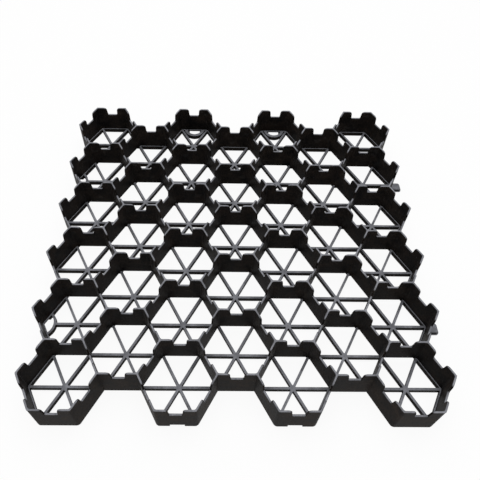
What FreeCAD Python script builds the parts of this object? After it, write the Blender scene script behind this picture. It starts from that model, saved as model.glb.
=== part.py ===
import FreeCAD, Part
import math
import os

# Grass paver grid: one moulded honeycomb of upright cell walls over a floor of thin spokes.
# Millimetres, +Z up, +X across the columns, +Y along the columns.
# The origin is under the middle of the grid, on the face that lies on the ground.

doc = FreeCAD.newDocument("grass_paver_grid")

# Driving dimensions
sheet = doc.addObject("Spreadsheet::Sheet", "dims")
driving = [
    ("columns", 7, "columns of cells, the odd ones one cell longer"),
    ("long_rows", 6, "cells in an odd column"),
    ("row_pitch", 83.333, "distance between cell centres along a column"),
    ("full_height", 57, "ground to the top of the merlons"),
    ("wall_thickness", 3, "cell wall below the notches"),
    ("crown_thickness", 2.4, "cell wall above the notch floor"),
    ("notch_depth", 15, "top of a merlon to the notch floor"),
    ("notch_floor", 16, "length of the notch floor along its wall"),
    ("notch_flare", 1.2, "slope of each notch side, over its depth"),
    ("merlon_corner", 2.6, "chamfer on the top corner of a merlon"),
    ("floor_height", 8, "height of the spokes, hubs, rim and loops, on which the walls stand"),
    ("spoke_width", 3.2, "width of a spoke"),
    ("hub_diameter", 8, "round boss where six spokes meet"),
    ("rim_ledge", 1.5, "how far the rim stands in from the outer wall"),
    ("corner_loop_radius", 19.4, "outer radius of a loop in a corner of a cell"),
    ("corner_loop_band", 3.2, "width of the band of a corner loop"),
    ("wall_loop_radius", 17.8, "outer radius of a loop against a wall"),
    ("wall_loop_band", 5, "width of the band of a wall loop"),
    ("slot_height", 5.5, "height of a slot through the rim"),
    ("slot_play", 0.7, "slot to tongue, on top and on each side"),
    ("tongue_gap", 3.4, "tongue end to the band of the loop that it enters"),
    ("tongue_width", 17, "tongue across"),
    ("tongue_round", 4, "corner radius of the tongue"),
    ("tongue_bevel", 2.6, "bevel round the top of the tongue"),
]
for index, (alias, value, meaning) in enumerate(driving, start=1):
    sheet.set("A%d" % index, str(value))
    sheet.setAlias("A%d" % index, alias)
    sheet.set("B%d" % index, meaning)
doc.recompute()

columns = int(sheet.columns)
long_rows = int(sheet.long_rows)
pitch = float(sheet.row_pitch)
side = pitch / math.sqrt(3)
UP = FreeCAD.Vector(0, 0, 1)
NOTCH_LEVEL = "dims.full_height - dims.notch_depth"


def add(kind, label, **expressions):
    item = doc.addObject(kind, label)
    for name, text in expressions.items():
        item.setExpression(name, text)
    return item


def place(item, x_text, y_text, z_text="0", turn=0.0):
    item.Placement = FreeCAD.Placement(FreeCAD.Vector(), FreeCAD.Rotation(UP, turn))
    item.setExpression("Placement.Base.x", x_text)
    item.setExpression("Placement.Base.y", y_text)
    item.setExpression("Placement.Base.z", z_text)


def copy_of(source, label, spot, z_text="0", turn=0.0):
    item = doc.addObject("App::Link", label)
    item.LinkedObject = source
    item.LinkTransform = False
    place(item, spot[0], spot[1], z_text, turn)
    return item


def wire_of(label, wire):
    item = doc.addObject("Part::Feature", label)
    item.Shape = wire
    return item


def bundle(label, items):
    group = doc.addObject("Part::Compound", label)
    group.Links = items
    return group


def fuse(label, items):
    joined = doc.addObject("Part::MultiFuse", label)
    joined.Shapes = items
    joined.Refine = False
    return joined


def cut(label, base, tool):
    result = doc.addObject("Part::Cut", label)
    result.Base = base
    result.Tool = tool
    result.Refine = False
    return result


def raised(label, section, bottom, depth):
    block = add("Part::Extrusion", label, LengthFwd=depth)
    block.Base = section
    block.DirMode = "Custom"
    block.Dir = UP
    block.Solid = True
    block.FaceMakerClass = "Part::FaceMakerBullseye"
    block.setExpression("Placement.Base.z", bottom)
    return block


# The lattice: steps of half a cell side in X and half a row in Y
def lattice_spot(across, along):
    return "%g * dims.row_pitch / sqrt(3) / 2" % across, "%g * dims.row_pitch / 2" % along


def lattice_point(across, along):
    return FreeCAD.Vector(across * side / 2, along * pitch / 2, 0)


cells = {}
for column in range(columns):
    short = column % 2
    for row in range(long_rows - short):
        across = 3 * column - 3 * (columns - 1) // 2
        along = 2 * row + short - (long_rows - 1)
        cells[(column, row)] = (across, along)
centres = set(cells.values())

# The six corners of a cell and its six neighbours, counter-clockwise from +X
corner_steps = [(2, 0), (1, 1), (-1, 1), (-2, 0), (-1, -1), (1, -1)]
neighbour_steps = [(3, 1), (0, 2), (-3, 1), (-3, -1), (0, -2), (3, -1)]

# Each wall as the place of its middle and the turn that points its own Y into a cell.
# An inner wall is noted by one of its two cells only.
inner_walls = []
outer_walls = []
border = {}
for across, along in sorted(centres):
    for number in range(6):
        first = corner_steps[number]
        second = corner_steps[(number + 1) % 6]
        step = neighbour_steps[number]
        wall = (across + step[0] / 2, along + step[1] / 2, 60 * number + 120)
        if (across + step[0], along + step[1]) not in centres:
            border[(across + first[0], along + first[1])] = (across + second[0], along + second[1])
            outer_walls.append(wall)
        elif number < 3:
            inner_walls.append(wall)

# Centre line of the outer wall, walked once round
start = min(border)
ring = [start]
while border[ring[-1]] != start:
    ring.append(border[ring[-1]])
outline_corners = [lattice_point(across, along) for across, along in ring]
outline = Part.Face(Part.makePolygon(outline_corners + outline_corners[:1]))
SHARP_CORNERS = 2


def grown(label, amount):
    return wire_of(label, outline.makeOffset2D(amount, SHARP_CORNERS).OuterWire)


def cell_section(label, thickness, edge):
    hexagon = add("Part::RegularPolygon", label + "_cell", Circumradius="(dims.row_pitch - %s) / sqrt(3)" % thickness)
    hexagon.Polygon = 6
    wires = [edge]
    for (column, row), (across, along) in sorted(cells.items()):
        name = "%s_cell_%d_%d" % (label, column + 1, row + 1)
        wires.append(copy_of(hexagon, name, lattice_spot(across, along)))
    return bundle(label, wires)


# Cell walls below the notches, and the thinner crown above
wall_edge = grown("wall_edge", sheet.wall_thickness / 2)
crown_edge = grown("crown_edge", sheet.crown_thickness / 2)
wall_section = cell_section("wall_section", "dims.wall_thickness", wall_edge)
crown_section = cell_section("crown_section", "dims.crown_thickness", crown_edge)
lower_walls = raised("lower_walls", wall_section, "dims.floor_height", NOTCH_LEVEL + " - dims.floor_height")
crown_walls = raised("crown_walls", crown_section, NOTCH_LEVEL, "dims.notch_depth")


# One notch: sloped sides, and a chamfer where they meet the top of the merlons
def notch_wedge(label, bottom, spread):
    wedge = add(
        "Part::Wedge",
        label,
        Xmin="-dims.notch_floor / 2",
        Xmax="dims.notch_floor / 2",
        X2min="-dims.notch_floor / 2 - (%s)" % spread,
        X2max="dims.notch_floor / 2 + %s" % spread,
        Ymin=bottom,
        Ymax="dims.notch_depth",
        Zmin="-dims.wall_thickness",
        Zmax="dims.wall_thickness",
        Z2min="-dims.wall_thickness",
        Z2max="dims.wall_thickness",
    )
    wedge.Placement = FreeCAD.Placement(FreeCAD.Vector(), FreeCAD.Rotation(FreeCAD.Vector(1, 0, 0), 90))
    return wedge


MOUTH_SPREAD = "dims.notch_flare + dims.merlon_corner"
notch_body = notch_wedge("notch_body", "0", "dims.notch_flare")
notch_mouth = notch_wedge("notch_mouth", "dims.notch_depth - (%s)" % MOUTH_SPREAD, MOUTH_SPREAD)
notch = fuse("notch", [notch_body, notch_mouth])
notches = []
for number, (across, along, turn) in enumerate(inner_walls + outer_walls):
    notches.append(copy_of(notch, "notch_%d" % number, lattice_spot(across, along), NOTCH_LEVEL, turn))
crown = cut("crown", crown_walls, bundle("all_notches", notches))

# Loops that take the tongues of the next grid: a band at floor level round a corner or against a wall.
# Each is noted as its cell, its own middle, its outer radius and the width of its band.
loops = []
for row in (1, long_rows - 2):
    across, along = cells[(0, row)]
    loops.append(((across, along), (across - 2, along), sheet.corner_loop_radius, sheet.corner_loop_band))
for column in (2, columns - 3):
    across, along = cells[(column, long_rows - 1)]
    loops.append(((across, along), (across, along + 1), sheet.wall_loop_radius, sheet.wall_loop_band))


def disc(middle, radius):
    return Part.Face(Part.Wire(Part.makeCircle(radius, lattice_point(*middle))))


# Floor gaps between the spokes, in the frame of one wall: X along the wall, Y towards the hub of a cell
hub_radius = sheet.hub_diameter / 2
gap_half_length = side / 2 - sheet.spoke_width / math.sqrt(3)
gap_reach = pitch / 2 - sheet.spoke_width
rim_inside = sheet.wall_thickness / 2 + sheet.rim_ledge
rim_half_length = gap_half_length * (1 - rim_inside / gap_reach)
band_discs = [disc(middle, radius) for cell, middle, radius, band in loops]


def hub_end(facing):
    # The end of a gap at a hub: an arc of the hub, or a corner where the spokes are wider than the hub
    if hub_radius <= sheet.spoke_width:
        return [FreeCAD.Vector(0, facing * gap_reach, 0)]
    swing = math.radians(30) - math.asin(sheet.spoke_width / 2 / hub_radius)
    points = []
    for angle in (swing, 0, -swing):
        x = facing * hub_radius * math.sin(angle)
        y = facing * (pitch / 2 - hub_radius * math.cos(angle))
        points.append(FreeCAD.Vector(x, y, 0))
    return points


def closed_wire(runs):
    # Each run is one corner, or the three points of an arc; straight edges join a run to the next
    edges = []
    for number, run in enumerate(runs):
        if len(run) > 1:
            edges.append(Part.Arc(*run).toShape())
        following = runs[(number + 1) % len(runs)]
        edges.append(Part.makeLine(run[-1], following[0]))
    return Part.Wire(edges)


inner_right = FreeCAD.Vector(gap_half_length, 0, 0)
inner_left = FreeCAD.Vector(-gap_half_length, 0, 0)
outer_right = FreeCAD.Vector(rim_half_length, rim_inside, 0)
outer_left = FreeCAD.Vector(-rim_half_length, rim_inside, 0)
inner_gap = wire_of("inner_gap", closed_wire([[inner_right], hub_end(1), [inner_left], hub_end(-1)]))
outer_gap = wire_of("outer_gap", closed_wire([[outer_right], hub_end(1), [outer_left]]))
floor_wires = [wall_edge]
for number, (across, along, turn) in enumerate(inner_walls):
    name = "inner_gap_%d" % number
    floor_wires.append(copy_of(inner_gap, name, lattice_spot(across, along), "0", turn))
for number, (across, along, turn) in enumerate(outer_walls):
    spot = FreeCAD.Placement(lattice_point(across, along), FreeCAD.Rotation(UP, turn))
    opening = Part.Face(outer_gap.Shape).transformGeometry(spot.toMatrix())
    crossing = [band for band in band_discs if opening.common(band).Area > 0]
    if crossing:
        # The band of a loop closes a part of this gap
        for piece, face in enumerate(opening.cut(crossing).Faces):
            floor_wires.append(wire_of("loop_gap_%d_%d" % (number, piece), face.OuterWire))
    else:
        name = "outer_gap_%d" % number
        floor_wires.append(copy_of(outer_gap, name, lattice_spot(across, along), "0", turn))
inside_rim = (pitch - 2 * rim_inside) / math.sqrt(3)
for number, (cell, middle, radius, band) in enumerate(loops):
    # The eye of a loop, between its band and the rim
    corners = [lattice_point(*cell) + FreeCAD.Vector(x * inside_rim / 2, y * inside_rim * math.sqrt(3) / 2, 0)
               for x, y in corner_steps]
    room = Part.Face(Part.makePolygon(corners + corners[:1]))
    eye = room.common(disc(middle, radius - band)).Faces[0]
    floor_wires.append(wire_of("loop_eye_%d" % number, eye.OuterWire))
floor_plate = raised("floor_plate", bundle("floor_section", floor_wires), "0", "dims.floor_height")

# Slots under the rim: from outside into the eye of each loop, and through two front walls
SLOT_WIDTH = "(dims.tongue_width + 2 * dims.slot_play)"
RIM_WIDTH = "(dims.wall_thickness + dims.rim_ledge)"
CORNER_DEPTH = "(dims.wall_thickness + 2 * dims.rim_ledge + %s / 2) / sqrt(3)" % SLOT_WIDTH


def slot_block(label, depth):
    # Across the slot along X, and into the cell along Y, from well outside the wall
    block = add("Part::Box", label, Length=SLOT_WIDTH, Width=depth + " + 2 * " + RIM_WIDTH, Height="dims.slot_height")
    place(block, "-%s / 2" % SLOT_WIDTH, "-" + RIM_WIDTH)
    return bundle(label + "_at_middle", [block])


wall_slot = slot_block("wall_slot", "0")
corner_slot = slot_block("corner_slot", CORNER_DEPTH)
slots = []
for row in (1, long_rows - 2):
    across, along = cells[(0, row)]
    slots.append(copy_of(corner_slot, "corner_slot_%d" % row, lattice_spot(across - 2, along), "0", -90))
for column in (2, columns - 3):
    across, along = cells[(column, long_rows - 1)]
    slots.append(copy_of(wall_slot, "back_slot_%d" % column, lattice_spot(across, along + 1), "0", 180))
    across, along = cells[(column, 0)]
    slots.append(copy_of(wall_slot, "front_slot_%d" % column, lattice_spot(across, along - 1)))
floor = cut("floor", floor_plate, bundle("slots", slots))

# Tongues at two corners of the last column, cut back to the inner edge of the rim.
# The corners of two grids laid side by side touch, and the tongue ends short of the band beyond them.
EYE_RADIUS = "dims.corner_loop_radius - dims.corner_loop_band"
TONGUE_REACH = EYE_RADIUS + " + 2 * dims.wall_thickness / sqrt(3) - dims.tongue_gap"
tongue_block = add(
    "Part::Box",
    "tongue_block",
    Length=TONGUE_REACH + " + dims.tongue_width / 2",
    Width="dims.tongue_width",
    Height="dims.slot_height - dims.slot_play",
)
place(tongue_block, "-dims.tongue_width / 2", "-dims.tongue_width / 2")
doc.recompute([tongue_block])
end_corners = []
for number, edge in enumerate(tongue_block.Shape.Edges, start=1):
    box = edge.BoundBox
    if box.ZLength > box.DiagonalLength / 2 and box.XMin > 0:
        end_corners.append((number, sheet.tongue_round, sheet.tongue_round))
tongue_rounded = doc.addObject("Part::Fillet", "tongue_rounded")
tongue_rounded.Base = tongue_block
tongue_rounded.Edges = end_corners
doc.recompute([tongue_rounded])
top_edges = []
for number, edge in enumerate(tongue_rounded.Shape.Edges, start=1):
    box = edge.BoundBox
    if box.ZMin > 0 and box.XMax > 0:
        top_edges.append((number, sheet.tongue_bevel, sheet.tongue_bevel))
tongue_bevelled = doc.addObject("Part::Chamfer", "tongue_bevelled")
tongue_bevelled.Base = tongue_rounded
tongue_bevelled.Edges = top_edges
tongue_clear = add(
    "Part::Prism",
    "tongue_clear",
    Circumradius="(dims.row_pitch - dims.wall_thickness - 2 * dims.rim_ledge) / sqrt(3)",
    Height="dims.floor_height",
)
tongue_clear.Polygon = 6
place(tongue_clear, "-dims.row_pitch / sqrt(3)", "0")
tongue = cut("tongue", tongue_bevelled, tongue_clear)
tongues = []
for row in (1, long_rows - 2):
    across, along = cells[(columns - 1, row)]
    tongues.append(copy_of(tongue, "tongue_%d" % row, lattice_spot(across + 2, along)))

paver = fuse("paver_grid", [floor, lower_walls, crown] + tongues)
doc.recompute()

# Every object has to be whole before anything is written
for item in doc.Objects:
    if "Invalid" in item.State or "Error" in item.State:
        raise RuntimeError("failed object: %s %s" % (item.Name, item.State))
shape = paver.Shape
if shape.isNull() or not shape.isValid():
    raise RuntimeError("the grid's shape is not valid")
if len(shape.Solids) != 1:
    raise RuntimeError("the grid is %d solids" % len(shape.Solids))

os.makedirs("parts", exist_ok=True)
shape.Solids[0].exportStep("parts/%s.step" % paver.Label)
box = shape.BoundBox
print("box", box.XMin, box.YMin, box.ZMin, box.XMax, box.YMax, box.ZMax)
print("volume", shape.Volume, "faces", len(shape.Faces), "cells", len(cells))
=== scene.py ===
import math

import bmesh
import bpy
from mathutils import Matrix, Vector


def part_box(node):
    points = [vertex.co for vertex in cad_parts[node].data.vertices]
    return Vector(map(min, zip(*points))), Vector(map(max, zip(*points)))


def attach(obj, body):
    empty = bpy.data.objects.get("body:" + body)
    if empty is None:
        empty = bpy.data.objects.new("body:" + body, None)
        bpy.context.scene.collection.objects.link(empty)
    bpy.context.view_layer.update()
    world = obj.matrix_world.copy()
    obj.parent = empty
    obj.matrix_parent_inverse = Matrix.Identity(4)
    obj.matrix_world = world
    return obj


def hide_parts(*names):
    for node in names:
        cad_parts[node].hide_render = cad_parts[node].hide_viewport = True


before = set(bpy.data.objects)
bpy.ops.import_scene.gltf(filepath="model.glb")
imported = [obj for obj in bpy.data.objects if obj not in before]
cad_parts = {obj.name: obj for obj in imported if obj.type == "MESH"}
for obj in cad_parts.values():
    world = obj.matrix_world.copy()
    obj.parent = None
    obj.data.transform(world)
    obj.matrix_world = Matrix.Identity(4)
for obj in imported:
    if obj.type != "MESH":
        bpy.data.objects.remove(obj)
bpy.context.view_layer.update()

# Sizes of the moulding, in metres
MM = 0.001
COLUMNS = 7
LONG_ROWS = 6
CELL_CORNERS = 6
PITCH = 83.333 * MM
SIDE = PITCH / math.sqrt(3)
COLUMN_SIDES = 1.5
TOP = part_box("paver_grid")[1].z
WALL = 3.0 * MM
CROWN = 2.4 * MM
NOTCH_DEPTH = 15.0 * MM
NOTCH_FLOOR = 16.0 * MM
NOTCH_FLARE = 1.2 * MM
NOTCH_FILLET = 1.6 * MM
FILLET_STEPS = 3
MERLON_ROUND = 5.5 * MM
MERLON_STEPS = 5
CREST = 0.35 * MM
CORNER_FILLET = 3.5 * MM
CORNER_STEPS = 3
CORNER_ROUND = 3.0 * MM
ROUND_STEPS = 4
FLOOR_HEIGHT = 8.0 * MM
SPOKE_WIDTH = 3.2 * MM
HUB_RADIUS = 4.0 * MM
RIM_LEDGE = 1.5 * MM
CORNER_LOOP = 19.4 * MM
CORNER_BAND = 3.2 * MM
WALL_LOOP = 17.8 * MM
WALL_BAND = 5.0 * MM
SLOT_HEIGHT = 5.5 * MM
SLOT_PLAY = 0.7 * MM
TONGUE_GAP = 3.4 * MM
TONGUE_WIDTH = 17.0 * MM
TONGUE_ROUND = 4.0 * MM
FLANGE_HEIGHT = 1.5 * MM
FLANGE_LEDGE = 1.3 * MM
TONGUE_ROLL = 1.8 * MM
WELD = 0.02 * MM
STEPS_PER_WELD = 10

# Angles: the turn of the walls at a cell corner, and what counts as flat, sharp or an outer corner
CORNER_TURN = math.radians(60)
HALF_CORNER_TURN = math.radians(30)
FLAT_TURN = math.radians(0.3)
SHARP_TURN = math.radians(25)
LEAST_OUTER_TURN = math.radians(50)
MOST_OUTER_TURN = math.radians(70)

# Least rise of an upright edge, as a share of its length
UPRIGHT_RISE = 0.98


# Mesh helpers
class Shell:
    """Collects faces by their corner points, so that corners that are used twice are one vertex."""

    def __init__(self):
        self.mesh = bmesh.new()
        self.corners = {}

    def corner(self, point):
        key = tuple(round(value / WELD * STEPS_PER_WELD) for value in point)
        if key not in self.corners:
            self.corners[key] = self.mesh.verts.new(point)
        return self.corners[key]

    def face(self, points):
        return self.mesh.faces.new([self.corner(point) for point in points])

    def finish(self, name, open_faces, sides):
        """Opens the ends and breaks the sharp edges of the two sides above the foot."""
        bmesh.ops.recalc_face_normals(self.mesh, faces=self.mesh.faces[:])
        bmesh.ops.delete(self.mesh, geom=list(open_faces), context="FACES")
        crests = []
        for edge in self.mesh.edges:
            flanks = [face for face in edge.link_faces if face in sides]
            above_foot = min(corner.co.z for corner in edge.verts) > FLOOR_HEIGHT + WELD
            if len(edge.link_faces) == 2 and len(flanks) == 1 and above_foot:
                crests.append(edge)
        bmesh.ops.bevel(
            self.mesh,
            geom=crests,
            offset=CREST,
            offset_type="OFFSET",
            segments=1,
            affect="EDGES",
            clamp_overlap=False,
        )
        return mesh_object(name, self.mesh)


def mesh_object(name, mesh):
    data = bpy.data.meshes.new(name)
    mesh.to_mesh(data)
    mesh.free()
    return bpy.data.objects.new(name, data)


def prism(mesh, outline, bottom, top):
    """A closed upright block over a plan outline that runs counter-clockwise."""
    low = [mesh.verts.new((x, y, bottom)) for x, y in outline]
    high = [mesh.verts.new((x, y, top)) for x, y in outline]
    mesh.faces.new(low[::-1])
    mesh.faces.new(high)
    for number in range(len(outline)):
        following = (number + 1) % len(outline)
        mesh.faces.new((low[number], low[following], high[following], high[number]))


def arc_points(centre, radius, start, end, steps):
    points = []
    for number in range(steps + 1):
        angle = start + (end - start) * number / steps
        points.append((centre[0] + radius * math.cos(angle), centre[1] + radius * math.sin(angle)))
    return points


# One cell wall between two lattice corners, open at both pointed ends where its neighbours join on.
# It is drafted: thickest on the floor and thinnest at the top.
NOTCH_LEVEL = TOP - NOTCH_DEPTH


def half_wall(z):
    share = (z - FLOOR_HEIGHT) / (TOP - FLOOR_HEIGHT)
    return (WALL + (CROWN - WALL) * share) / 2


def wall_end(z):
    return SIDE / 2 - half_wall(z) / math.sqrt(3)


def merlon_edge():
    """Side of a notch from its filleted floor up to the rounded top corner of the merlon."""
    slope = math.atan2(NOTCH_FLARE, NOTCH_DEPTH)
    turn = math.pi / 2 - slope
    low_centre = (NOTCH_FLOOR / 2 - NOTCH_FILLET * math.tan(turn / 2), NOTCH_LEVEL + NOTCH_FILLET)
    high_centre = (NOTCH_FLOOR / 2 + NOTCH_FLARE + MERLON_ROUND * math.tan(turn / 2), TOP - MERLON_ROUND)
    fillet = arc_points(low_centre, NOTCH_FILLET, -math.pi / 2, -slope, FILLET_STEPS)
    shoulder = arc_points(high_centre, MERLON_ROUND, math.pi - slope, math.pi / 2, MERLON_STEPS)
    return fillet + shoulder


def side_end(z, rounded):
    """Plan points of one end of a side, from the straight round to the line where two walls meet."""
    half = half_wall(z)
    if not rounded:
        return [(wall_end(z), half)]
    centre = (SIDE / 2 - (half + CORNER_FILLET) / math.sqrt(3), half + CORNER_FILLET)
    return arc_points(centre, CORNER_FILLET, -math.pi / 2, -math.pi / 3, CORNER_STEPS)


def wall_unit(name, rounded_hands):
    """A wall with filleted ends on the sides that face a cell."""
    shell = Shell()
    tip = SIDE / 2
    foot = FLOOR_HEIGHT
    edge = merlon_edge()
    notch = edge[::-1] + [(-x, z) for x, z in edge]
    sides = []
    ends = []
    plans = {}
    for hand in (1, -1):
        for z in (foot, TOP):
            plans[hand, z] = [(x, hand * y, z) for x, y in side_end(z, hand in rounded_hands)]
        low_x = plans[hand, foot][0][0]
        high_x = plans[hand, TOP][0][0]
        outline = [(-low_x, foot), (low_x, foot), (high_x, TOP)] + notch + [(-high_x, TOP)]
        sides.append(shell.face([(x, hand * half_wall(z), z) for x, z in outline]))
        for way in (1, -1):
            low = [(way * x, y, z) for x, y, z in plans[hand, foot]]
            high = [(way * x, y, z) for x, y, z in plans[hand, TOP]]
            for number in range(len(low) - 1):
                sides.append(shell.face([low[number], low[number + 1], high[number + 1], high[number]]))
            ends.append(shell.face([low[-1], high[-1], (way * tip, 0, TOP), (way * tip, 0, foot)]))
    for (x, z), (next_x, next_z) in zip(notch, notch[1:]):
        shell.face([
            (x, half_wall(z), z),
            (x, -half_wall(z), z),
            (next_x, -half_wall(next_z), next_z),
            (next_x, half_wall(next_z), next_z),
        ])
    right_foot = plans[1, foot] + [(tip, 0, foot)] + plans[-1, foot][::-1]
    shell.face(right_foot + [(-x, y, z) for x, y, z in right_foot[::-1]])
    top_x = edge[-1][0]
    merlon_top = [(top_x, half_wall(TOP), TOP)] + plans[1, TOP] + [(tip, 0, TOP)] + plans[-1, TOP][::-1]
    merlon_top.append((top_x, -half_wall(TOP), TOP))
    for way in (1, -1):
        shell.face([(way * x, y, z) for x, y, z in merlon_top])
    return shell.finish(name, ends, sides)


def corner_unit():
    """Outer half of a corner where only two walls meet; +X points away from the cell."""
    shell = Shell()

    def plan(z):
        half = half_wall(z)
        beside = half * math.tan(HALF_CORNER_TURN)
        return [(beside, half, z), (half / math.cos(HALF_CORNER_TURN), 0, z), (beside, -half, z)]

    low = plan(FLOOR_HEIGHT)
    high = plan(TOP)
    sides = [shell.face([low[number], low[number + 1], high[number + 1], high[number]]) for number in (0, 1)]
    shell.face([(0, 0, FLOOR_HEIGHT)] + low)
    shell.face([(0, 0, TOP)] + high)
    ends = [shell.face([(0, 0, FLOOR_HEIGHT), low[number], high[number], (0, 0, TOP)]) for number in (0, 2)]
    return shell.finish("corner_unit", ends, sides)


# Outlines of the gaps between spokes, in the frame of one wall: X along the wall, Y towards a hub
GAP_HALF_LENGTH = SIDE / 2 - SPOKE_WIDTH / math.sqrt(3)
GAP_REACH = PITCH / 2 - SPOKE_WIDTH
RIM_INSIDE = WALL / 2 + RIM_LEDGE
HUB_STEPS = 3


def hub_arc(facing):
    swing = HALF_CORNER_TURN - math.asin(SPOKE_WIDTH / 2 / HUB_RADIUS)
    middle = -math.pi / 2
    points = arc_points((0, PITCH / 2), HUB_RADIUS, middle + swing, middle - swing, HUB_STEPS)
    return [(facing * x, facing * y) for x, y in points]


def gap_outline(name, points):
    mesh = bmesh.new()
    corners = [mesh.verts.new((x, y, 0)) for x, y in points]
    for number, corner in enumerate(corners):
        mesh.edges.new((corner, corners[(number + 1) % len(corners)]))
    return mesh_object(name, mesh)


def inner_gap():
    right = [(GAP_HALF_LENGTH, 0)]
    left = [(-GAP_HALF_LENGTH, 0)]
    return gap_outline("inner_gap", right + hub_arc(1) + left + hub_arc(-1))


def outer_gap():
    half = GAP_HALF_LENGTH * (1 - RIM_INSIDE / GAP_REACH)
    return gap_outline("outer_gap", [(half, RIM_INSIDE)] + hub_arc(1) + [(-half, RIM_INSIDE)])


# Loops and tongues, placed by column and row of the lattice
LOOP_STEPS = 24


def cell_centre(column, row):
    x = COLUMN_SIDES * SIDE * (column - (COLUMNS - 1) / 2)
    y = PITCH * (row + (column % 2) / 2 - (LONG_ROWS - 1) / 2)
    return x, y


def loop_places():
    """Centre, outer radius, band and the sector of floor that each loop covers."""
    places = []
    for row in (1, LONG_ROWS - 2):
        x, y = cell_centre(0, row)
        places.append(((x - SIDE, y), CORNER_LOOP, CORNER_BAND, (-CORNER_TURN, CORNER_TURN)))
    for column in (2, COLUMNS - 3):
        x, y = cell_centre(column, LONG_ROWS - 1)
        places.append(((x, y + PITCH / 2), WALL_LOOP, WALL_BAND, (-math.pi, 0)))
    return places


def loop_bands():
    mesh = bmesh.new()
    for centre, radius, _, (start, end) in loop_places():
        outline = [centre] + arc_points(centre, radius, start, end, LOOP_STEPS)
        prism(mesh, outline, 0, FLOOR_HEIGHT)
    return mesh_object("loop_bands", mesh)


def loop_eyes():
    """The openings between the bands and the rim."""
    mesh = bmesh.new()
    for centre, radius, band, (start, end) in loop_places():
        inside = radius - band
        lean = math.asin(RIM_INSIDE / inside)
        outline = arc_points(centre, inside, start + lean, end - lean, LOOP_STEPS)
        if end - start < math.pi:
            outline.append((centre[0] + RIM_INSIDE / math.sin(CORNER_TURN), centre[1]))
        prism(mesh, outline, -FLOOR_HEIGHT, 2 * FLOOR_HEIGHT)
    return mesh_object("loop_eyes", mesh)


# Slots through the rim, under the wall: into the eye of each loop, and through two front walls
SLOT_WIDTH = TONGUE_WIDTH + 2 * SLOT_PLAY
RIM_WIDTH = WALL + RIM_LEDGE
CORNER_DEPTH = (2 * RIM_INSIDE + SLOT_WIDTH / 2) / math.sqrt(3)


def rim_slots():
    mesh = bmesh.new()
    half = SLOT_WIDTH / 2
    plans = []
    for row in (1, LONG_ROWS - 2):
        x, y = cell_centre(0, row)
        plans.append((x - SIDE - RIM_WIDTH, x - SIDE + CORNER_DEPTH + RIM_WIDTH, y - half, y + half))
    for column in (2, COLUMNS - 3):
        for row, side in ((0, -1), (LONG_ROWS - 1, 1)):
            x, y = cell_centre(column, row)
            wall = y + side * PITCH / 2
            plans.append((x - half, x + half, wall - RIM_WIDTH, wall + RIM_WIDTH))
    for left, right, front, back in plans:
        outline = [(left, front), (right, front), (right, back), (left, back)]
        prism(mesh, outline, -FLOOR_HEIGHT, SLOT_HEIGHT)
    return mesh_object("rim_slots", mesh)


TONGUE_REACH = CORNER_LOOP - CORNER_BAND + 2 * WALL / math.sqrt(3) - TONGUE_GAP
TONGUE_HEIGHT = SLOT_HEIGHT - SLOT_PLAY
ROLL_STEPS = 4
TONGUE_STEPS = 5


def tongue_outline(inset):
    half = TONGUE_WIDTH / 2 - inset
    radius = TONGUE_ROUND - inset
    reach = TONGUE_REACH - inset
    right = arc_points((reach - radius, -half + radius), radius, -math.pi / 2, 0, TONGUE_STEPS)
    left = arc_points((reach - radius, half - radius), radius, 0, math.pi / 2, TONGUE_STEPS)
    return [(0, -half)] + right + left + [(0, half)]


def tongues():
    mesh = bmesh.new()
    levels = [(0, 0), (FLANGE_HEIGHT, 0), (FLANGE_HEIGHT, FLANGE_LEDGE)]
    for number in range(ROLL_STEPS + 1):
        angle = math.pi / 2 * number / ROLL_STEPS
        sunk = TONGUE_ROLL * (1 - math.sin(angle))
        levels.append((TONGUE_HEIGHT - sunk, FLANGE_LEDGE + TONGUE_ROLL * (1 - math.cos(angle))))
    for row in (1, LONG_ROWS - 2):
        x, y = cell_centre(COLUMNS - 1, row)
        rings = []
        for z, inset in levels:
            rings.append([mesh.verts.new((x + SIDE + px, y + py, z)) for px, py in tongue_outline(inset)])
        mesh.faces.new(rings[0][::-1])
        mesh.faces.new(rings[-1])
        for below, above in zip(rings, rings[1:]):
            for number in range(len(below)):
                following = (number + 1) % len(below)
                mesh.faces.new((below[number], below[following], above[following], above[number]))
    return mesh_object("tongues", mesh)


# Node helpers
def wire(tree, kind, inputs=None, **settings):
    """Adds one node; inputs by name or number are values, or sockets to link from."""
    node = tree.nodes.new(kind)
    for name, value in settings.items():
        setattr(node, name, value)
    for key, value in (inputs or {}).items():
        socket = node.inputs[key]
        if isinstance(value, bpy.types.NodeSocket):
            tree.links.new(value, socket)
        else:
            socket.default_value = value
    return node


def math_node(tree, operation, first, second=0.0):
    return wire(tree, "ShaderNodeMath", {0: first, 1: second}, operation=operation).outputs[0]


def vector_math(tree, operation, first, second):
    return wire(tree, "ShaderNodeVectorMath", {0: first, 1: second}, operation=operation).outputs[0]


def same_number(tree, first, second):
    """Compares whole numbers, which are the third and fourth sockets of the node."""
    node = tree.nodes.new("FunctionNodeCompare")
    node.data_type = "INT"
    node.operation = "EQUAL"
    tree.links.new(first, node.inputs[2])
    node.inputs[3].default_value = second
    return node.outputs[0]


def merged(tree, geometry, distance):
    inputs = {"Geometry": geometry, "Distance": distance}
    return wire(tree, "GeometryNodeMergeByDistance", inputs).outputs[0]


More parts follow.
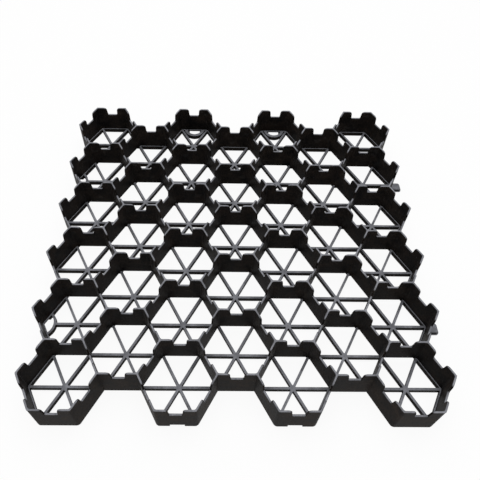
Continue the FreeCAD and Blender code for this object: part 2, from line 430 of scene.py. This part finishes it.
# The rule of the grid as a node tree
GRID_INPUTS = (
    ("Columns", "NodeSocketInt"),
    ("Long Rows", "NodeSocketInt"),
    ("Row Pitch", "NodeSocketFloat"),
    ("Wall Thickness", "NodeSocketFloat"),
    ("Floor Height", "NodeSocketFloat"),
    ("Weld Distance", "NodeSocketFloat"),
    ("Inner Wall", "NodeSocketObject"),
    ("Outer Wall", "NodeSocketObject"),
    ("Corner Unit", "NodeSocketObject"),
    ("Inner Gap", "NodeSocketObject"),
    ("Outer Gap", "NodeSocketObject"),
    ("Loop Bands", "NodeSocketObject"),
    ("Loop Eyes", "NodeSocketObject"),
    ("Rim Slots", "NodeSocketObject"),
    ("Tongues", "NodeSocketObject"),
    ("Plastic", "NodeSocketMaterial"),
)


def honeycomb_sheet(tree, given, side):
    """One flat hexagon on every cell centre, welded along the shared walls."""
    index = wire(tree, "GeometryNodeInputIndex").outputs[0]
    column = math_node(tree, "FLOOR", math_node(tree, "DIVIDE", index, given["Long Rows"]))
    row = math_node(tree, "MODULO", index, given["Long Rows"])
    short = math_node(tree, "MODULO", column, 2.0)
    last_column = math_node(tree, "SUBTRACT", given["Columns"], 1.0)
    last_row = math_node(tree, "SUBTRACT", given["Long Rows"], 1.0)
    from_middle = math_node(tree, "SUBTRACT", column, math_node(tree, "DIVIDE", last_column, 2.0))
    sides_across = math_node(tree, "MULTIPLY", from_middle, COLUMN_SIDES)
    x = math_node(tree, "MULTIPLY", sides_across, side)
    stagger = math_node(tree, "ADD", row, math_node(tree, "DIVIDE", short, 2.0))
    along = math_node(tree, "SUBTRACT", stagger, math_node(tree, "DIVIDE", last_row, 2.0))
    y = math_node(tree, "MULTIPLY", along, given["Row Pitch"])
    place = wire(tree, "ShaderNodeCombineXYZ", {"X": x, "Y": y}).outputs[0]
    count = math_node(tree, "MULTIPLY", given["Columns"], given["Long Rows"])
    points = wire(tree, "GeometryNodePoints", {"Count": count, "Position": place}).outputs[0]
    beyond = math_node(tree, "GREATER_THAN", stagger, last_row)
    kept = wire(tree, "GeometryNodeDeleteGeometry", {"Geometry": points, "Selection": beyond}).outputs[0]
    cell_plan = {"Vertices": CELL_CORNERS, "Radius": side}
    hexagon = wire(tree, "GeometryNodeMeshCircle", cell_plan, fill_type="NGON").outputs[0]
    cells = wire(tree, "GeometryNodeInstanceOnPoints", {"Points": kept, "Instance": hexagon}).outputs[0]
    loose = wire(tree, "GeometryNodeRealizeInstances", {"Geometry": cells}).outputs[0]
    return merged(tree, loose, given["Weld Distance"])


def unit_geometry(tree, source):
    return wire(tree, "GeometryNodeObjectInfo", {"Object": source}).outputs["Geometry"]


def turned_units(tree, sheet, domain, selection, direction, axis, unit):
    """Copies of a unit on the chosen edges or corners of the sheet, turned about Z to face a direction."""
    capture = wire(tree, "GeometryNodeCaptureAttribute", {"Geometry": sheet}, domain=domain)
    capture.capture_items.new("VECTOR", "Direction")
    tree.links.new(direction, capture.inputs["Direction"])
    mode = "EDGES" if domain == "EDGE" else "VERTICES"
    picked = {"Mesh": capture.outputs["Geometry"], "Selection": selection}
    points = wire(tree, "GeometryNodeMeshToPoints", picked, mode=mode).outputs[0]
    turn = wire(
        tree,
        "FunctionNodeAlignRotationToVector",
        {"Vector": capture.outputs["Direction"]},
        axis=axis,
        pivot_axis="Z",
    ).outputs[0]
    copies = wire(
        tree,
        "GeometryNodeInstanceOnPoints",
        {"Points": points, "Instance": unit, "Rotation": turn},
    ).outputs[0]
    return wire(tree, "GeometryNodeRealizeInstances", {"Geometry": copies}).outputs[0]


def join(tree, parts):
    node = tree.nodes.new("GeometryNodeJoinGeometry")
    for part in parts:
        tree.links.new(part, node.inputs[0])
    return node.outputs[0]


def combined(tree, operation, first, second):
    node = tree.nodes.new("GeometryNodeMeshBoolean")
    node.operation = operation
    node.solver = "MANIFOLD"
    if operation == "DIFFERENCE":
        tree.links.new(first, node.inputs["Mesh 1"])
        tree.links.new(second, node.inputs["Mesh 2"])
    else:
        tree.links.new(second, node.inputs["Mesh 2"])
        tree.links.new(first, node.inputs["Mesh 2"])
    return node.outputs[0]


def grid_tree():
    tree = bpy.data.node_groups.new("paver_grid_rule", "GeometryNodeTree")
    tree.interface.new_socket("Geometry", in_out="OUTPUT", socket_type="NodeSocketGeometry")
    for name, kind in GRID_INPUTS:
        tree.interface.new_socket(name, in_out="INPUT", socket_type=kind)
    entry = tree.nodes.new("NodeGroupInput")
    given = {name: entry.outputs[name] for name, _ in GRID_INPUTS}
    side = math_node(tree, "DIVIDE", given["Row Pitch"], math.sqrt(3))
    sheet = honeycomb_sheet(tree, given, side)

    # Directions on the sheet: along a wall, from a wall into its cell, and out of a cell through a corner
    position = wire(tree, "GeometryNodeInputPosition").outputs[0]
    middle_node = tree.nodes.new("GeometryNodeFieldOnDomain")
    middle_node.domain = "FACE"
    middle_node.data_type = "FLOAT_VECTOR"
    tree.links.new(position, middle_node.inputs[0])
    cell_middle = middle_node.outputs[0]
    ends = wire(tree, "GeometryNodeInputMeshEdgeVertices")
    wall_line = vector_math(tree, "SUBTRACT", ends.outputs["Position 2"], ends.outputs["Position 1"])
    into_cell = vector_math(tree, "SUBTRACT", cell_middle, position)
    out_of_cell = vector_math(tree, "SUBTRACT", position, cell_middle)
    cells_beside = wire(tree, "GeometryNodeInputMeshEdgeNeighbors").outputs[0]
    is_outer_wall = same_number(tree, cells_beside, 1)
    is_inner_wall = same_number(tree, cells_beside, 2)
    is_outer_corner = same_number(tree, wire(tree, "GeometryNodeCornersOfVertex").outputs["Total"], 1)

    # Walls and crown
    inner_wall = unit_geometry(tree, given["Inner Wall"])
    outer_wall = unit_geometry(tree, given["Outer Wall"])
    corner = unit_geometry(tree, given["Corner Unit"])
    inner_walls = turned_units(tree, sheet, "EDGE", is_inner_wall, wall_line, "X", inner_wall)
    outer_walls = turned_units(tree, sheet, "EDGE", is_outer_wall, into_cell, "Y", outer_wall)
    corners = turned_units(tree, sheet, "POINT", is_outer_corner, out_of_cell, "X", corner)
    lattice = merged(tree, join(tree, [inner_walls, outer_walls, corners]), given["Weld Distance"])

    # Floor: the outline with a gap on both sides of every wall, raised to its height
    reach = math_node(tree, "DIVIDE", given["Wall Thickness"], math.sqrt(3))
    outward = wire(tree, "ShaderNodeVectorMath", {0: out_of_cell}, operation="NORMALIZE").outputs[0]
    scaled = wire(tree, "ShaderNodeVectorMath", {0: outward, "Scale": reach}, operation="SCALE").outputs[0]
    grown = wire(tree, "GeometryNodeSetPosition", {"Geometry": sheet, "Offset": scaled}).outputs[0]
    outline = wire(tree, "GeometryNodeMeshToCurve", {"Mesh": grown, "Selection": is_outer_wall}).outputs[0]
    inner = unit_geometry(tree, given["Inner Gap"])
    outer = unit_geometry(tree, given["Outer Gap"])
    inner_gaps = turned_units(tree, sheet, "EDGE", is_inner_wall, wall_line, "X", inner)
    outer_gaps = turned_units(tree, sheet, "EDGE", is_outer_wall, into_cell, "Y", outer)
    gaps = wire(tree, "GeometryNodeMeshToCurve", {"Mesh": join(tree, [inner_gaps, outer_gaps])}).outputs[0]
    floor_plan = join(tree, [outline, gaps])
    flat = wire(tree, "GeometryNodeFillCurve", {"Curve": floor_plan}, mode="NGONS").outputs[0]
    lift = wire(tree, "ShaderNodeCombineXYZ", {"Z": given["Floor Height"]}).outputs[0]
    raised = wire(
        tree,
        "GeometryNodeExtrudeMesh",
        {"Mesh": flat, "Offset": lift, "Individual": False},
        mode="FACES",
    ).outputs[0]
    underside = wire(tree, "GeometryNodeFlipFaces", {"Mesh": flat}).outputs[0]
    plate = merged(tree, join(tree, [raised, underside]), given["Weld Distance"])

    # Loops and tongues, then everything as one moulding
    banded = combined(tree, "UNION", plate, unit_geometry(tree, given["Loop Bands"]))
    opened = combined(tree, "DIFFERENCE", banded, unit_geometry(tree, given["Loop Eyes"]))
    slotted = combined(tree, "DIFFERENCE", opened, unit_geometry(tree, given["Rim Slots"]))
    tongued = combined(tree, "UNION", slotted, unit_geometry(tree, given["Tongues"]))
    whole = combined(tree, "UNION", tongued, lattice)
    real = wire(tree, "GeometryNodeRealizeInstances", {"Geometry": whole}).outputs[0]
    coat = {"Geometry": real, "Material": given["Plastic"]}
    dressed = wire(tree, "GeometryNodeSetMaterial", coat).outputs[0]
    leave = tree.nodes.new("NodeGroupOutput")
    tree.links.new(dressed, leave.inputs[0])
    return tree


def run_tree(name, tree, values):
    """Runs a tree on an empty object and returns its result as a plain mesh object."""
    holder = bpy.data.objects.new(name + "_holder", bpy.data.meshes.new(name + "_holder"))
    bpy.context.scene.collection.objects.link(holder)
    modifier = holder.modifiers.new("rule", "NODES")
    modifier.node_group = tree
    for item in tree.interface.items_tree:
        if item.in_out == "INPUT" and item.name in values:
            modifier[item.identifier] = values[item.name]
    graph = bpy.context.evaluated_depsgraph_get()
    graph.update()
    mesh = bpy.data.meshes.new_from_object(holder.evaluated_get(graph))
    holder.modifiers.remove(modifier)
    bpy.data.objects.remove(holder)
    mesh.name = name
    piece = bpy.data.objects.new(name, mesh)
    bpy.context.scene.collection.objects.link(piece)
    return piece


# Finishes as shader groups, each fed by a position in metres
def finish_group(name, inputs, output):
    """An empty shader group with a position, further number inputs and one number that it puts out."""
    tree = bpy.data.node_groups.new(name, "ShaderNodeTree")
    tree.interface.new_socket("Position", in_out="INPUT", socket_type="NodeSocketVector")
    for label, start in inputs:
        socket = tree.interface.new_socket(label, in_out="INPUT", socket_type="NodeSocketFloat")
        socket.default_value = start
    tree.interface.new_socket(output, in_out="OUTPUT", socket_type="NodeSocketFloat")
    return tree, tree.nodes.new("NodeGroupInput").outputs, tree.nodes.new("NodeGroupOutput").inputs


def noise(tree, position, scale, detail=2.0, roughness=0.5):
    inputs = {"Vector": position, "Scale": scale, "Detail": detail, "Roughness": roughness}
    return wire(tree, "ShaderNodeTexNoise", inputs).outputs[0]


def ramp(tree, value, low, high, to_low=0.0, to_high=1.0, smooth=False):
    inputs = {"Value": value, "From Min": low, "From Max": high, "To Min": to_low, "To Max": to_high}
    node = wire(tree, "ShaderNodeMapRange", inputs)
    node.interpolation_type = "SMOOTHSTEP" if smooth else "LINEAR"
    return node.outputs[0]


def stretched(tree, position, turn, scale):
    inputs = {"Vector": position, "Rotation": turn, "Scale": scale}
    return wire(tree, "ShaderNodeMapping", inputs).outputs[0]


def weighted(tree, first, share, second):
    """Blends two values by the share of the first."""
    part = math_node(tree, "MULTIPLY", first, share)
    rest = math_node(tree, "MULTIPLY", second, 1 - share)
    return math_node(tree, "ADD", part, rest)


# Clouds of the melt: how much finer the small ones are, and the share of the broad ones
FINE_CLOUDS = 7.0
BROAD_SHARE = 0.65


def flow_mottle():
    """Soft clouds left by the flow of the melt, around one."""
    tree, given, put = finish_group("flow_mottle", (("Clouds", 60.0), ("Depth", 0.3)), "Shade")
    broad = noise(tree, given["Position"], given["Clouds"], detail=3.0, roughness=0.6)
    fine_scale = math_node(tree, "MULTIPLY", given["Clouds"], FINE_CLOUDS)
    fine = noise(tree, given["Position"], fine_scale)
    clouds = weighted(tree, broad, BROAD_SHARE, fine)
    around_zero = ramp(tree, clouds, low=0.3, high=0.7, to_low=-1.0, to_high=1.0)
    swing = math_node(tree, "MULTIPLY", around_zero, given["Depth"])
    tree.links.new(math_node(tree, "ADD", swing, 1.0), put["Shade"])
    return tree


def upward_bloom():
    """Painted sheen of the light from above: the faces that look up are made pale, thinner in patches."""
    inputs = (("Start", 0.55), ("Full", 0.95), ("Patches", 90.0))
    tree, given, put = finish_group("upward_bloom", inputs, "Mask")
    facing = wire(tree, "ShaderNodeNewGeometry").outputs["Normal"]
    rise = wire(tree, "ShaderNodeSeparateXYZ", {0: facing}).outputs["Z"]
    level = ramp(tree, rise, given["Start"], given["Full"], smooth=True)
    clouds = noise(tree, given["Position"], given["Patches"], detail=4.0, roughness=0.6)
    patch = ramp(tree, clouds, low=0.3, high=0.65, to_low=0.7, to_high=1.0)
    tree.links.new(math_node(tree, "MULTIPLY", level, patch), put["Mask"])
    return tree


# Turn and stretch of the noise for each set of scuffs
SCUFF_SETS = (
    ((0.2, 0.5, 0.6), (900, 60, 60)),
    ((0.7, -0.3, -0.9), (70, 800, 70)),
)


def hair_scuffs():
    """Short hair-thin scuffs in two directions."""
    tree, given, put = finish_group("hair_scuffs", (("Fineness", 1.0),), "Mask")
    lines = []
    for turn, scale in SCUFF_SETS:
        along = stretched(tree, given["Position"], turn, scale)
        grain = noise(tree, along, given["Fineness"], detail=1.0)
        lines.append(ramp(tree, grain, low=0.66, high=0.72))
    tree.links.new(math_node(tree, "MAXIMUM", lines[0], lines[1]), put["Mask"])
    return tree


def grit_specks():
    """Scattered specks of pale grit."""
    tree, given, put = finish_group("grit_specks", (("Spacing", 260.0), ("Share", 0.12)), "Mask")
    cells = wire(tree, "ShaderNodeTexVoronoi", {"Vector": given["Position"], "Scale": given["Spacing"]})
    dot = ramp(tree, cells.outputs["Distance"], low=0.22, high=0.12)
    draw = wire(tree, "ShaderNodeSeparateXYZ", {0: cells.outputs["Color"]}).outputs["X"]
    picked = math_node(tree, "LESS_THAN", draw, given["Share"])
    tree.links.new(math_node(tree, "MULTIPLY", dot, picked), put["Mask"])
    return tree


# Share of the fine grain in the relief of the surface
GRAIN_SHARE = 0.35


def mould_grain():
    """Height of the fine grain of the mould and of slight sink marks."""
    tree, given, put = finish_group("mould_grain", (("Grain", 1800.0), ("Sinks", 110.0)), "Height")
    grain = noise(tree, given["Position"], given["Grain"], roughness=0.6)
    sinks = noise(tree, given["Position"], given["Sinks"], detail=1.0)
    tree.links.new(weighted(tree, grain, GRAIN_SHARE, sinks), put["Height"])
    return tree


def placed(tree, group, position, **values):
    node = wire(tree, "ShaderNodeGroup", node_tree=group)
    tree.links.new(position, node.inputs["Position"])
    for name, value in values.items():
        node.inputs[name].default_value = value
    return node.outputs[0]


def mixed_colour(tree, share, first, second, blend="MIX"):
    """Mixes two colours, which are the seventh and eighth sockets of the node."""
    node = tree.nodes.new("ShaderNodeMix")
    node.data_type = "RGBA"
    node.blend_type = blend
    for socket, value in ((node.inputs[0], share), (node.inputs[6], first), (node.inputs[7], second)):
        if isinstance(value, bpy.types.NodeSocket):
            tree.links.new(value, socket)
        else:
            socket.default_value = value
    return node.outputs[2]


# Black polyethylene: near black on upright faces, with a painted sheen of the light from above making the
# faces on top pale
PLASTIC_BLACK = (0.0066, 0.0061, 0.0063, 1)
PLASTIC_BROWN = (0.0230, 0.0170, 0.0134, 1)
# Pale grey painted on faces that look up, as a painted sheen of the light from above
PAINTED_SHEEN_GREY = (0.245, 0.249, 0.272, 1)
GRIT_GREY = (0.24, 0.24, 0.235, 1)
SCUFF_SHARE = 0.05
GRIT_SHARE = 0.16
UPWARD_DULLNESS = 0.08
SCUFF_DULLNESS = 0.1
RELIEF_STRENGTH = 0.25
RELIEF_DEPTH = 0.3 * MM
GLOSS = 0.018


def plastic():
    material = bpy.data.materials.new("black_polyethylene")
    material.use_nodes = True
    tree = material.node_tree
    shader = tree.nodes["Principled BSDF"]
    position = wire(tree, "ShaderNodeTexCoord").outputs["Object"]
    shade = placed(tree, flow_mottle(), position, Clouds=55.0, Depth=0.38)
    top_sheen = placed(tree, upward_bloom(), position, Start=0.5, Full=0.95, Patches=85.0)
    scuffs = placed(tree, hair_scuffs(), position, Fineness=1.0)
    grit = placed(tree, grit_specks(), position, Spacing=300.0, Share=0.10)
    height = placed(tree, mould_grain(), position, Grain=1800.0, Sinks=120.0)
    base = mixed_colour(tree, ramp(tree, shade, low=0.75, high=1.35), PLASTIC_BLACK, PLASTIC_BROWN)
    # Painted sheen: faces that look up are mixed towards pale grey, standing in for the light from above
    body = mixed_colour(tree, top_sheen, base, PAINTED_SHEEN_GREY)
    scuffed = mixed_colour(tree, math_node(tree, "MULTIPLY", scuffs, SCUFF_SHARE), body, GRIT_GREY)
    gritty = mixed_colour(tree, math_node(tree, "MULTIPLY", grit, GRIT_SHARE), scuffed, GRIT_GREY)
    tone = wire(tree, "ShaderNodeCombineXYZ", {"X": shade, "Y": shade, "Z": shade}).outputs[0]
    colour = mixed_colour(tree, 1.0, gritty, tone, "MULTIPLY")
    tree.links.new(colour, shader.inputs["Base Color"])
    bare = ramp(tree, shade, low=0.6, high=1.4, to_low=0.44, to_high=0.56)
    # Faces under the painted top sheen are also made a little rougher
    rough_on_top = math_node(tree, "ADD", bare, math_node(tree, "MULTIPLY", top_sheen, UPWARD_DULLNESS))
    rough = math_node(tree, "ADD", rough_on_top, math_node(tree, "MULTIPLY", scuffs, SCUFF_DULLNESS))
    tree.links.new(rough, shader.inputs["Roughness"])
    relief = {"Height": height, "Strength": RELIEF_STRENGTH, "Distance": RELIEF_DEPTH}
    tree.links.new(wire(tree, "ShaderNodeBump", relief).outputs[0], shader.inputs["Normal"])
    shader.inputs["Specular IOR Level"].default_value = GLOSS
    return material


# Outer corners of the lattice, where the moulding turns round a single cell
def outer_corners():
    """Plan places, in whole millimetres, of the corners that belong to one cell only."""
    last = CELL_CORNERS - 1
    uses = {}
    for column in range(COLUMNS):
        for row in range(LONG_ROWS - column % 2):
            centre = cell_centre(column, row)
            for x, y in arc_points(centre, SIDE, 0, last * CORNER_TURN, last):
                key = (round(x / MM), round(y / MM))
                uses[key] = uses.get(key, 0) + 1
    return {key for key, count in uses.items() if count == 1}


def round_outer_corners(piece):
    """Takes out the flat seams beside each outer corner and rounds its upright edge."""
    mesh = bmesh.new()
    mesh.from_mesh(piece.data)
    places = outer_corners()

    def near_corner(edge):
        middle = (edge.verts[0].co + edge.verts[1].co) / 2
        return any(math.hypot(middle.x - x * MM, middle.y - y * MM) < WALL for x, y in places)

    close = [edge for edge in mesh.edges if edge.is_manifold and near_corner(edge)]
    seams = [edge for edge in close if edge.calc_face_angle() < FLAT_TURN]
    bmesh.ops.dissolve_edges(mesh, edges=seams, use_verts=True)
    upright = []
    for edge in mesh.edges:
        line = edge.verts[1].co - edge.verts[0].co
        is_upright = abs(line.z) > UPRIGHT_RISE * line.length
        if edge.is_manifold and is_upright and near_corner(edge):
            if LEAST_OUTER_TURN < edge.calc_face_angle_signed() < MOST_OUTER_TURN:
                upright.append(edge)
    bmesh.ops.bevel(
        mesh,
        geom=upright,
        offset=CORNER_ROUND,
        offset_type="OFFSET",
        segments=ROUND_STEPS,
        profile=0.5,
        affect="EDGES",
        clamp_overlap=False,
    )
    bmesh.ops.dissolve_degenerate(mesh, dist=WELD, edges=mesh.edges[:])
    bmesh.ops.delete(mesh, geom=[edge for edge in mesh.edges if edge.is_wire], context="EDGES")
    mesh.to_mesh(piece.data)
    mesh.free()


def shade_moulding(piece):
    """Smooth over fillets and arcs, while the large flat faces keep their own direction."""
    piece.data.polygons.foreach_set("use_smooth", [True] * len(piece.data.polygons))
    piece.data.set_sharp_from_angle(angle=SHARP_TURN)
    weighting = piece.modifiers.new("flat_faces_first", "WEIGHTED_NORMAL")
    weighting.keep_sharp = True
    graph = bpy.context.evaluated_depsgraph_get()
    graph.update()
    mesh = bpy.data.meshes.new_from_object(piece.evaluated_get(graph))
    piece.modifiers.remove(weighting)
    mesh.name = piece.name
    piece.data = mesh


def moulded_grid():
    """Runs the rule of the grid on its units and finishes the result as one moulding."""
    units = {
        "Inner Wall": wall_unit("inner_wall", (1, -1)),
        "Outer Wall": wall_unit("outer_wall", (1,)),
        "Corner Unit": corner_unit(),
        "Inner Gap": inner_gap(),
        "Outer Gap": outer_gap(),
        "Loop Bands": loop_bands(),
        "Loop Eyes": loop_eyes(),
        "Rim Slots": rim_slots(),
        "Tongues": tongues(),
    }
    sizes = {
        "Columns": COLUMNS,
        "Long Rows": LONG_ROWS,
        "Row Pitch": PITCH,
        "Wall Thickness": WALL,
        "Floor Height": FLOOR_HEIGHT,
        "Weld Distance": WELD,
        "Plastic": plastic(),
    }
    piece = run_tree("grid_moulding", grid_tree(), {**units, **sizes})
    round_outer_corners(piece)
    shade_moulding(piece)
    for unit in units.values():
        bpy.data.objects.remove(unit)
    return piece


# Floor and light
WHITE = (1, 1, 1, 1)
FLOOR_SPAN = 12.0
FLOOR_LEVEL = -0.2 * MM
FLOOR_WHITE = 0.92
FLOOR_GREY = (0.9, 0.9, 0.9, 1)
FLOOR_ROUGHNESS = 0.9
LAMP_PLACE = (0, 0.3, 2.2)
LAMP_AIM = (0, 0, 0)
LAMP_SIZE = (2.4, 2.4)
LAMP_POWER = 36
WORLD_LIGHT = 0.5


def seen_directly(tree):
    """One for rays that show the background: from the lens, or by way of a glossy or clear surface."""
    path = tree.nodes.new("ShaderNodeLightPath")
    first = math_node(tree, "MAXIMUM", path.outputs["Is Camera Ray"], path.outputs["Is Glossy Ray"])
    return math_node(tree, "MAXIMUM", first, path.outputs["Is Transmission Ray"])


def floor_finish():
    """White to the eye, with a faint share of the real light and shadow."""
    material = bpy.data.materials.new("pale_floor")
    material.use_nodes = True
    tree = material.node_tree
    shader = tree.nodes["Principled BSDF"]
    shader.inputs["Base Color"].default_value = FLOOR_GREY
    shader.inputs["Roughness"].default_value = FLOOR_ROUGHNESS
    white = wire(tree, "ShaderNodeEmission", {"Color": WHITE, "Strength": 1.0}).outputs[0]
    share = math_node(tree, "MULTIPLY", seen_directly(tree), FLOOR_WHITE)
    mix = wire(tree, "ShaderNodeMixShader", {0: share, 1: shader.outputs[0], 2: white}).outputs[0]
    tree.links.new(mix, tree.nodes["Material Output"].inputs["Surface"])
    return material


def pale_floor():
    mesh = bmesh.new()
    half = FLOOR_SPAN / 2
    plan = ((-half, -half), (half, -half), (half, half), (-half, half))
    mesh.faces.new([mesh.verts.new((x, y, FLOOR_LEVEL)) for x, y in plan])
    floor = mesh_object("floor", mesh)
    bpy.context.scene.collection.objects.link(floor)
    floor.data.materials.append(floor_finish())


def soft_lamp(name, place, aim, size, power):
    data = bpy.data.lights.new(name, "AREA")
    data.shape = "RECTANGLE"
    data.size, data.size_y = size
    data.energy = power
    lamp = bpy.data.objects.new(name, data)
    lamp.location = place
    lamp.rotation_euler = (Vector(aim) - Vector(place)).to_track_quat("-Z", "Y").to_euler()
    bpy.context.scene.collection.objects.link(lamp)


def studio_world():
    world = bpy.data.worlds.new("studio")
    world.use_nodes = True
    tree = world.node_tree
    background = tree.nodes["Background"]
    background.inputs["Color"].default_value = WHITE
    strength = math_node(tree, "MAXIMUM", seen_directly(tree), WORLD_LIGHT)
    tree.links.new(strength, background.inputs["Strength"])
    bpy.context.scene.world = world


# Camera, from its height angle, bearing, roll and distance to a point on the ground
CAMERA_ELEVATION = math.radians(49.288)
CAMERA_BEARING = math.radians(1.639)
CAMERA_ROLL = math.radians(2.060)
CAMERA_DISTANCE = 19.315 * SIDE
CAMERA_AIM = Vector((-0.133 * SIDE, 3.574 * SIDE, 0))
FOCAL_PIXELS = 532.07
AXIS_PIXEL = (230.61, 164.77)
PICTURE = 480
SENSOR = 36.0


def set_camera():
    flat = math.cos(CAMERA_ELEVATION)
    forward = Vector((
        math.sin(CAMERA_BEARING) * flat,
        math.cos(CAMERA_BEARING) * flat,
        -math.sin(CAMERA_ELEVATION),
    ))
    level = Vector((math.cos(CAMERA_BEARING), -math.sin(CAMERA_BEARING), 0))
    upward = level.cross(forward)
    right = level * math.cos(CAMERA_ROLL) + upward * math.sin(CAMERA_ROLL)
    up = right.cross(forward)
    data = bpy.data.cameras.new("camera")
    data.sensor_width = SENSOR
    data.lens = FOCAL_PIXELS / PICTURE * SENSOR
    data.shift_x = (PICTURE / 2 - AXIS_PIXEL[0]) / PICTURE
    data.shift_y = (AXIS_PIXEL[1] - PICTURE / 2) / PICTURE
    camera = bpy.data.objects.new("camera", data)
    turn = Matrix((right, up, -forward)).transposed().to_4x4()
    camera.matrix_world = Matrix.Translation(CAMERA_AIM - forward * CAMERA_DISTANCE) @ turn
    bpy.context.scene.collection.objects.link(camera)
    bpy.context.scene.camera = camera


# The moulding on its body, then the studio round it
grid = moulded_grid()
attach(grid, "root")
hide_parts("paver_grid")
pale_floor()
soft_lamp("overhead_light", LAMP_PLACE, LAMP_AIM, LAMP_SIZE, LAMP_POWER)
studio_world()
set_camera()
bpy.context.scene.view_settings.view_transform = "Standard"
